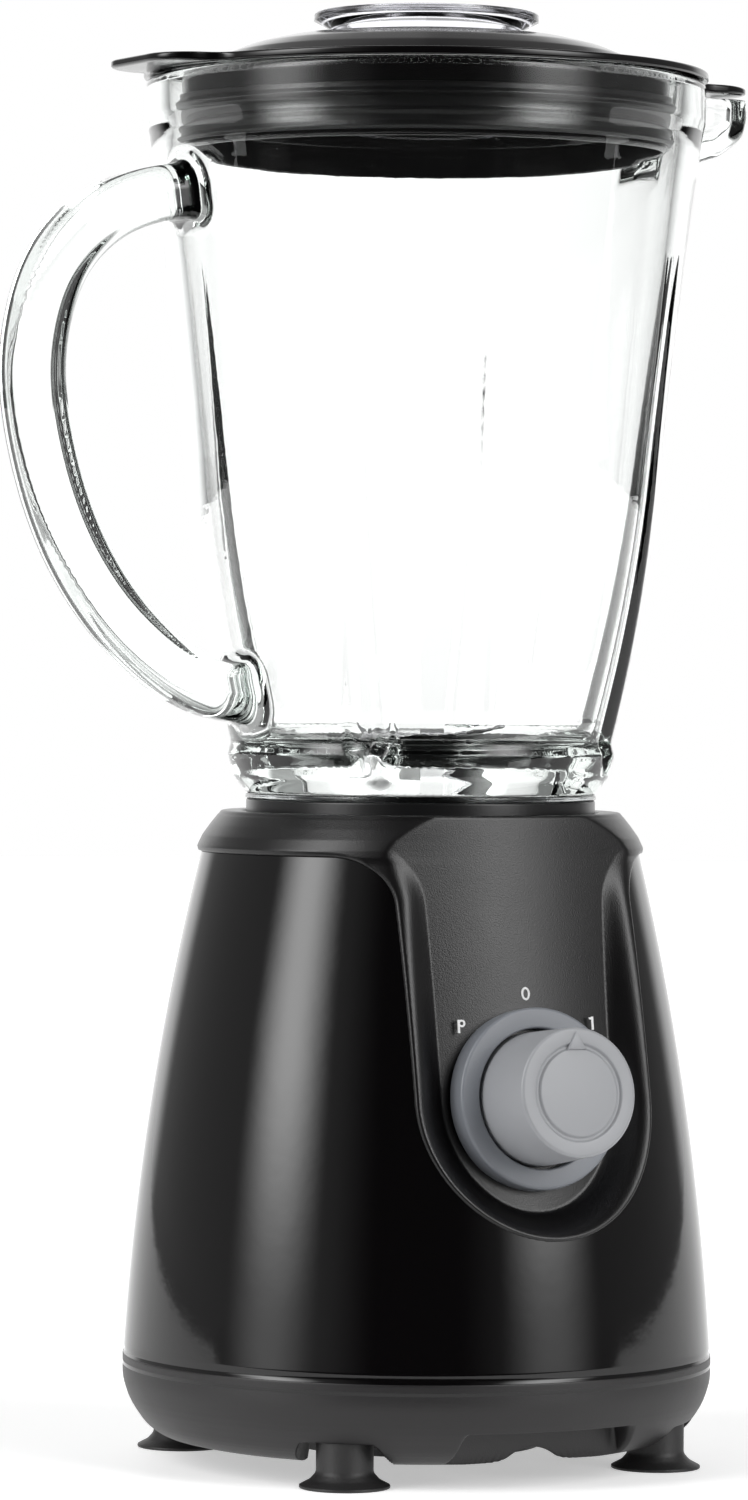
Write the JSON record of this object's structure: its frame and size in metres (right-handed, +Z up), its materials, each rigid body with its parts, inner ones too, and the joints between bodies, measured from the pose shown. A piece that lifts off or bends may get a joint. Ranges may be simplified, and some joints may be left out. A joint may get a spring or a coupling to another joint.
{
  "type": "countertop blender",
  "caption": "Countertop blender: tapered motor base with a turning dial, glass jar with a loop handle, blade unit, lid and measuring cap.",
  "frame": {"origin": "on the worktop, under the common axis of motor base, motor and jar", "axes": "+Z up along the motor's axis, the dial faces -Y, the jar's handle points to -X and its spout to +X"},
  "size_m": [0.2158, 0.1638, 0.3796],
  "materials": {
    "gloss_black": "high-gloss moulded",
    "satin_black": "fine-grained satin",
    "grey_bezel": "satin",
    "grey_knob": "satin",
    "black_rubber": "soft matte",
    "white_print": "printed",
    "clear_glass": "clear pressed",
    "clear_seal": "translucent",
    "clear_plastic": "clear moulded plastic",
    "blade_steel": "ground and polished",
    "dull_steel": "plated",
    "lamination": "stacked sheet",
    "copper": "enamelled wire",
    "bronze": "sintered",
    "carbon": "pressed carbon",
    "beige_plastic": "moulded"
  },
  "bodies": {
    "base": {"housing_shell": "gloss_black", "upper_cowl": "satin_black", "bottom_tray": "satin_black", "vent_grille": "satin_black", "suction_feet": "black_rubber", "tray_screws": "dull_steel", "cord_gland": "black_rubber", "terminal_block": "beige_plastic", "dial_bezel": "grey_bezel", "rotary_switch": "satin_black", "dial_marks": "white_print", "stator_core": "lamination", "field_windings": "copper", "lower_motor_bracket": "dull_steel", "upper_motor_bracket": "dull_steel", "lower_bearing": "bronze", "upper_bearing": "bronze", "brush_holders": "satin_black", "carbon_brushes": "carbon", "motor_mounts": "black_rubber", "motor_screws": "dull_steel"},
    "rotor": {"motor_shaft": "dull_steel", "rotor_core": "lamination", "rotor_windings": "copper", "commutator": "copper", "cooling_fan": "satin_black", "fan_nut": "dull_steel", "drive_coupler": "satin_black"},
    "knob": {"control_knob": "grey_knob", "knob_shaft": "dull_steel"},
    "jar": {"glass_jar": "clear_glass", "jar_spout": "clear_glass", "jar_collar": "satin_black", "jar_seal": "clear_seal", "blade_bushing": "bronze", "shaft_seal": "black_rubber"},
    "blades": {"blade_shaft": "dull_steel", "driven_coupler": "satin_black", "blade_washer": "dull_steel", "lower_blades": "blade_steel", "upper_blades": "blade_steel", "blade_nut": "dull_steel"},
    "lid": {"lid": "gloss_black", "lid_plug": "gloss_black", "lid_gasket": "black_rubber"},
    "cap": {"measuring_cap": "clear_plastic"}
  },
  "joints": [
    {"name": "motor_spin", "type": "hinge", "parent": "base", "child": "rotor", "pos_m": [0, 0, 0.1], "axis": [0, 0, 1], "continuous": true},
    {"name": "knob_turn", "type": "hinge", "parent": "base", "child": "knob", "pos_m": [0, -0.0598, 0.098], "axis": [0, -0.9898, 0.1426], "range_deg": [-45, 45]},
    {"name": "jar_lift", "type": "slide", "parent": "base", "child": "jar", "axis": [0, 0, 1], "range_m": [0, 0.08]},
    {"name": "blade_spin", "type": "hinge", "parent": "jar", "child": "blades", "pos_m": [0, 0, 0.175], "axis": [0, 0, 1], "continuous": true},
    {"name": "lid_lift", "type": "slide", "parent": "jar", "child": "lid", "axis": [0, 0, 1], "range_m": [0, 0.06]},
    {"name": "cap_lift", "type": "slide", "parent": "lid", "child": "cap", "axis": [0, 0, 1], "range_m": [0, 0.05]}
  ],
  "couplings": [
    {"joint": "blade_spin", "follows": "motor_spin", "ratio": 1}
  ]
}
